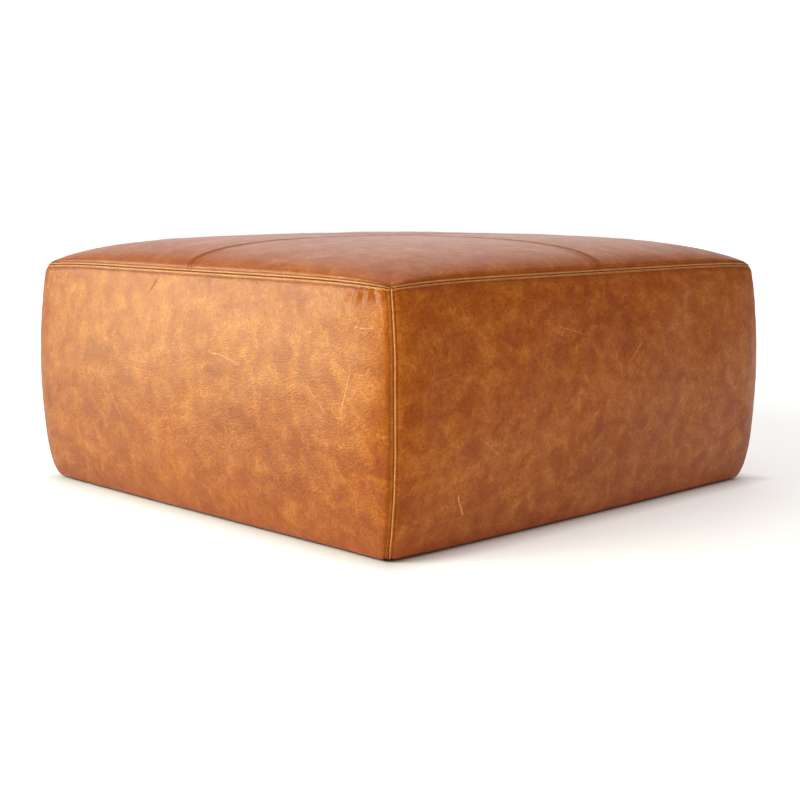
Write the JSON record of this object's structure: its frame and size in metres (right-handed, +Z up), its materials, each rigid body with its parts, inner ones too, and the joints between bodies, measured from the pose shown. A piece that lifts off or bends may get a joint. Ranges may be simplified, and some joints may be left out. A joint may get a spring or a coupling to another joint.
{
  "type": "square leather floor pouf",
  "caption": "Low square pouf for sitting or resting feet on: sewn leather cover with a crowned top in quarter panels, over foam, a webbed deck and a timber frame.",
  "frame": {"origin": "on the floor, under the middle of the pouf", "axes": "+Z up; the front face looks along -Y, and +X is to its right"},
  "size_m": [0.9566, 0.9566, 0.445],
  "materials": {
    "leather": "satin",
    "batting": "matte",
    "foam": "matte",
    "board": "matte",
    "timber": "matte",
    "webbing": "matte",
    "deck_cloth": "matte",
    "dust_cover": "matte",
    "glide": "satin",
    "screw": "satin"
  },
  "bodies": {
    "root": {"leather_side_front": "leather", "leather_side_right": "leather", "leather_side_back": "leather", "leather_side_left": "leather", "leather_top_front_right": "leather", "leather_top_back_right": "leather", "leather_top_back_left": "leather", "leather_top_front_left": "leather", "top_batting": "batting", "seat_foam": "foam", "side_foam_front": "foam", "side_foam_right": "foam", "side_foam_back": "foam", "side_foam_left": "foam", "side_board_front": "board", "side_board_right": "board", "side_board_back": "board", "side_board_left": "board", "base_rail_front": "timber", "top_rail_front": "timber", "base_rail_right": "timber", "top_rail_right": "timber", "base_rail_back": "timber", "top_rail_back": "timber", "base_rail_left": "timber", "top_rail_left": "timber", "base_stretcher": "timber", "corner_post_front_right": "timber", "corner_brace_front_right": "timber", "corner_post_back_right": "timber", "corner_brace_back_right": "timber", "corner_post_back_left": "timber", "corner_brace_back_left": "timber", "corner_post_front_left": "timber", "corner_brace_front_left": "timber", "webbing_across_1": "webbing", "webbing_lengthwise_1": "webbing", "webbing_across_2": "webbing", "webbing_lengthwise_2": "webbing", "webbing_across_3": "webbing", "webbing_lengthwise_3": "webbing", "webbing_across_4": "webbing", "webbing_lengthwise_4": "webbing", "webbing_across_5": "webbing", "webbing_lengthwise_5": "webbing", "deck_cloth": "deck_cloth", "dust_cover": "dust_cover", "glide_front_right": "glide", "glide_screw_front_right": "screw", "glide_back_right": "glide", "glide_screw_back_right": "screw", "glide_back_left": "glide", "glide_screw_back_left": "screw", "glide_front_left": "glide", "glide_screw_front_left": "screw"}
  },
  "joints": []
}
